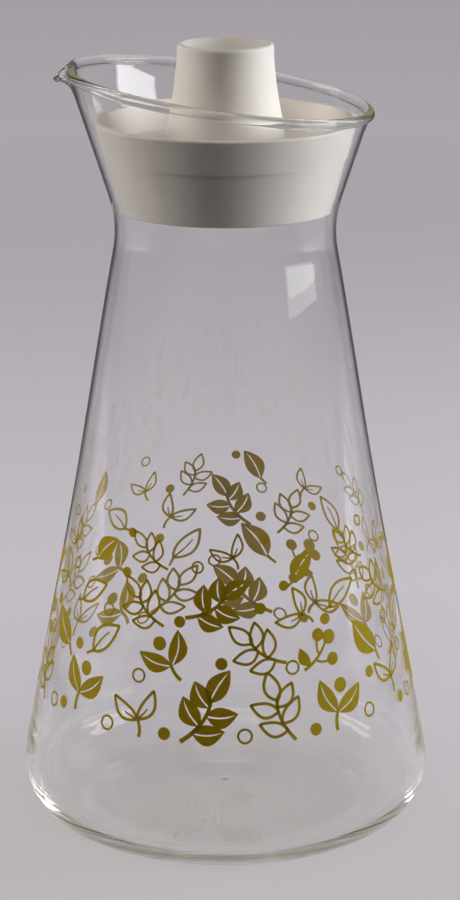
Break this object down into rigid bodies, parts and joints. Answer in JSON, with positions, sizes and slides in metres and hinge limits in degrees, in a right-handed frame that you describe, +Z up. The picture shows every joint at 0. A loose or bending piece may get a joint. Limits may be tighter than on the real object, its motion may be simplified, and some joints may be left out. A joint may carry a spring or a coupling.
{
  "type": "glass juice carafe with lift-out stopper",
  "caption": "Conical clear glass juice carafe with a flared, slanted, spouted mouth and a lift-out plastic stopper with a tall finger knob.",
  "frame": {"origin": "centre of the carafe's foot on the surface that it stands on", "axes": "+Z up along the axis of the vessel; the pouring spout points to -X; +Y away from the side shown in front view"},
  "size_m": [0.1139, 0.114, 0.2184],
  "materials": {
    "clear_glass": "fire-polished, clear with a faint green tint",
    "stopper_plastic": "satin moulded off-white",
    "print_enamel": "fired-on olive enamel print"
  },
  "bodies": {
    "vessel": {"carafe_glass": "clear_glass"},
    "lift_out_stopper": {"stopper": "stopper_plastic"}
  },
  "joints": [
    {"name": "stopper_lift", "type": "slide", "parent": "vessel", "child": "lift_out_stopper", "axis": [0, 0, 1], "range_m": [0, 0.06]}
  ]
}
